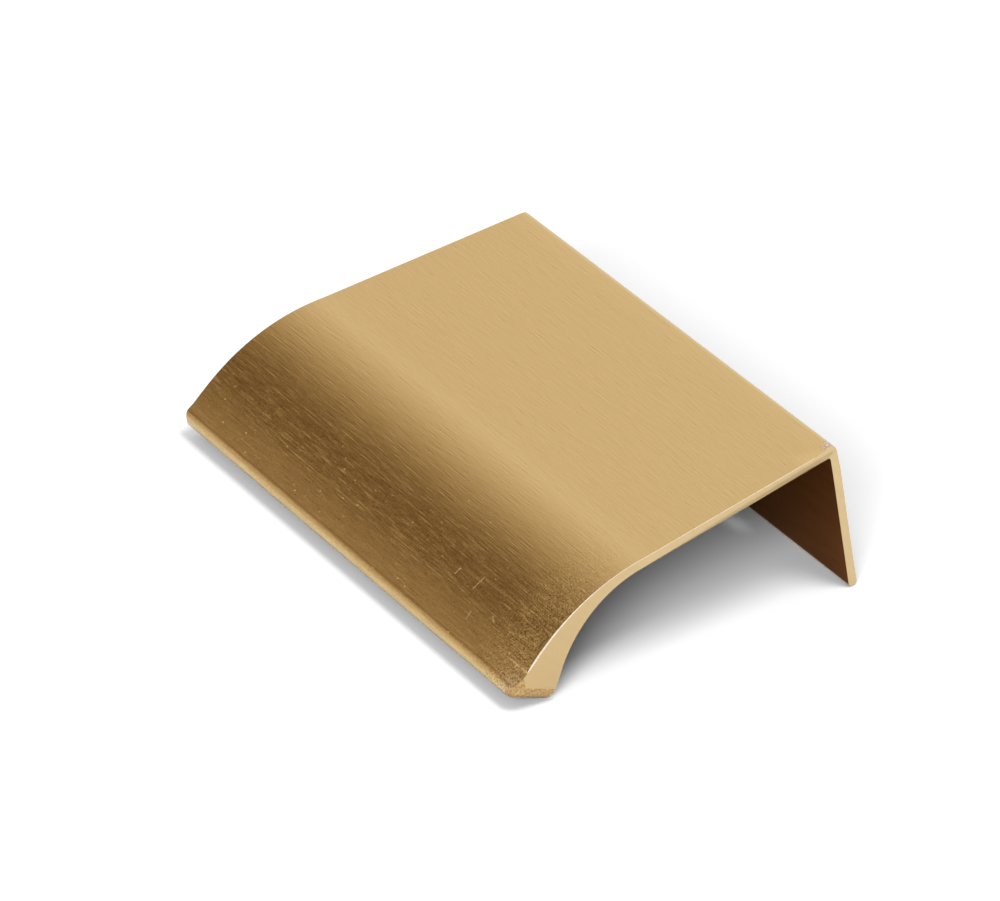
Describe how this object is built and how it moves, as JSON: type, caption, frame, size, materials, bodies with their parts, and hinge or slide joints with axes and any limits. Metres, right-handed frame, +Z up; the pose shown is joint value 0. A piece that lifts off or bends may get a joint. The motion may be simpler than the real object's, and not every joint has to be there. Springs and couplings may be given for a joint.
{
  "type": "handleless finger pull profile",
  "caption": "Extruded finger pull: a thin flat plate with a screw flange down the back and a curved, thickened lip at the front, in a brushed brass-coloured finish.",
  "frame": {"origin": "middle of the footprint, on the floor the pull rests on", "axes": "+X along the extrusion, -Y towards the lip, +Y towards the flange, +Z up; the plate leans as it does when the pull lies unheld on its lip and flange edge"},
  "size_m": [0.0556, 0.038, 0.0151],
  "materials": {
    "finish": "brushed along the length, brass-coloured anodising"
  },
  "bodies": {
    "root": {"pull_profile": "finish"}
  },
  "joints": []
}
